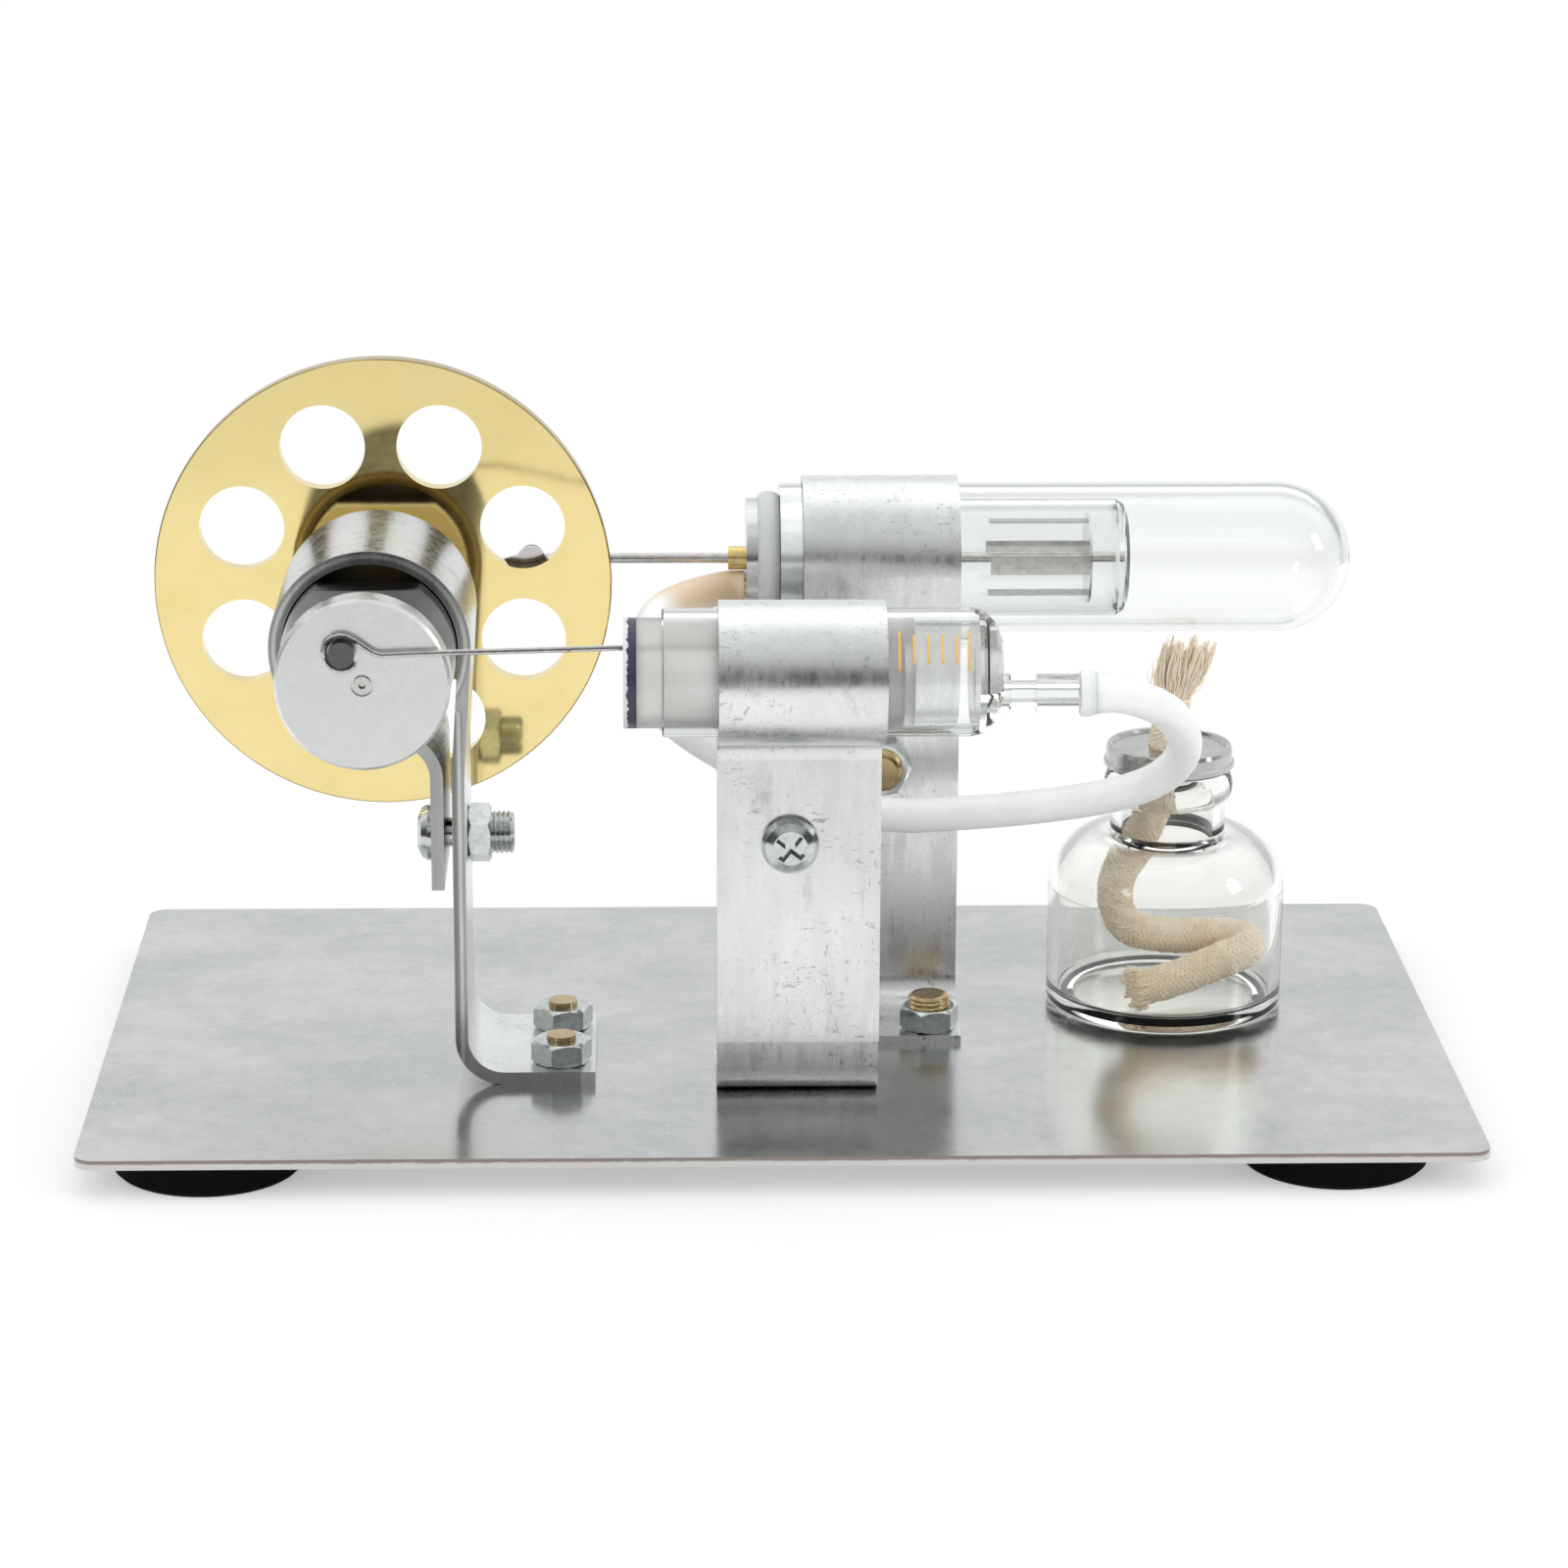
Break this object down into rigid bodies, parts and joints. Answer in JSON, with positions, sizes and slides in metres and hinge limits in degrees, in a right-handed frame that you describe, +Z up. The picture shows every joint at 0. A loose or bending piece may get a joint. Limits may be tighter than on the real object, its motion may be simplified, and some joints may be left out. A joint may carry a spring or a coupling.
{
  "type": "stirling engine model",
  "caption": "Bench-top heat engine with a glass hot cylinder over a spirit burner, a glass syringe power cylinder, a crank shaft and a perforated flywheel on a sheet-metal plate.",
  "frame": {"origin": "on the ground under the middle of the base plate", "axes": "+X along the plate from the flywheel to the hot end, +Y to the back, +Z up"},
  "size_m": [0.14, 0.08, 0.0741],
  "materials": {
    "galvanised": "galvanised sheet with a soft sheen",
    "rubber": "matt black",
    "bracket_steel": "plain bent sheet steel, slightly speckled",
    "zinc_steel": "bright zinc plate",
    "yellow_zinc": "yellow passivated zinc plate",
    "can_metal": "satin",
    "cap_plastic": "pale moulded plastic",
    "brass": "turned",
    "polished_steel": "bright drawn wire",
    "aluminium": "turned face",
    "dark_steel": "dark, oiled",
    "gold_brass": "mirror polish, pale gold",
    "clear_glass": "clear",
    "frosted_glass": "ground, slightly frosted",
    "dark_enamel": "dark violet-black",
    "silicone_white": "white silicone",
    "silicone_hose": "translucent silicone",
    "cork": "pale cork",
    "lid_metal": "pressed lid with a slight warm tint",
    "cotton": "braided cotton, tip singed"
  },
  "bodies": {
    "base": {"base_plate": "galvanised", "foot_front_left": "rubber", "foot_front_right": "rubber", "foot_back_left": "rubber", "foot_back_right": "rubber", "flywheel_bracket": "bracket_steel", "flywheel_clamp_screw": "zinc_steel", "flywheel_clamp_nut": "zinc_steel", "flywheel_foot_screws": "yellow_zinc", "flywheel_foot_nuts": "zinc_steel", "bearing_can": "can_metal", "bearing_cap": "cap_plastic", "front_bush": "brass", "rear_bush": "brass", "power_bracket": "bracket_steel", "power_clamp_screw": "zinc_steel", "power_clamp_nut": "zinc_steel", "power_foot_screws": "yellow_zinc", "power_foot_nuts": "zinc_steel", "syringe_barrel": "clear_glass", "hot_bracket": "bracket_steel", "hot_clamp_screw": "yellow_zinc", "hot_clamp_nut": "zinc_steel", "hot_foot_screws": "yellow_zinc", "hot_foot_nuts": "zinc_steel", "hot_tube": "clear_glass", "cold_plug": "can_metal", "plug_seal": "silicone_white", "gland_bush": "brass", "hose_port": "brass", "hose": "silicone_hose"},
    "crank": {"crank_shaft": "polished_steel", "crank_collar": "can_metal", "crank_disc": "aluminium", "crank_pin": "dark_steel", "flywheel": "gold_brass", "flywheel_hub": "brass", "hub_grub_screw": "dark_steel", "displacer_crank_pin": "dark_steel"},
    "power_link": {"power_con_rod": "polished_steel"},
    "displacer_link": {"displacer_con_rod": "polished_steel"},
    "piston": {"plunger": "frosted_glass", "plunger_band": "dark_enamel"},
    "displacer": {"displacer_tube": "clear_glass", "displacer_stopper": "cork", "displacer_rod": "polished_steel", "rod_knuckle": "dark_steel", "spring_clip": "polished_steel"},
    "burner": {"burner_bottle": "clear_glass", "burner_lid": "lid_metal", "wick": "cotton"}
  },
  "joints": [
    {"name": "crank_spin", "type": "hinge", "parent": "base", "child": "crank", "pos_m": [-0.0411, 0, 0.0501], "axis": [0, -1, 0], "continuous": true},
    {"name": "power_link_turn", "type": "hinge", "parent": "crank", "child": "power_link", "pos_m": [-0.04299, -0.03285, 0.05351], "axis": [0, -1, 0], "continuous": true},
    {"name": "displacer_link_turn", "type": "hinge", "parent": "crank", "child": "displacer_link", "pos_m": [-0.0476, 0.01085, 0.04635], "axis": [0, -1, 0], "continuous": true},
    {"name": "piston_slide", "type": "slide", "parent": "base", "child": "piston", "axis": [1, 0, 0], "range_m": [-0.002, 0.0058]},
    {"name": "displacer_slide", "type": "slide", "parent": "base", "child": "displacer", "axis": [1, 0, 0], "range_m": [-0.001, 0.014]},
    {"name": "burner_slide", "type": "slide", "parent": "base", "child": "burner", "axis": [1, 0, 0], "range_m": [0, 0.013]}
  ],
  "couplings": [
    {"joint": "power_link_turn", "follows": "crank_spin", "ratio": -1},
    {"joint": "displacer_link_turn", "follows": "crank_spin", "ratio": -1}
  ]
}
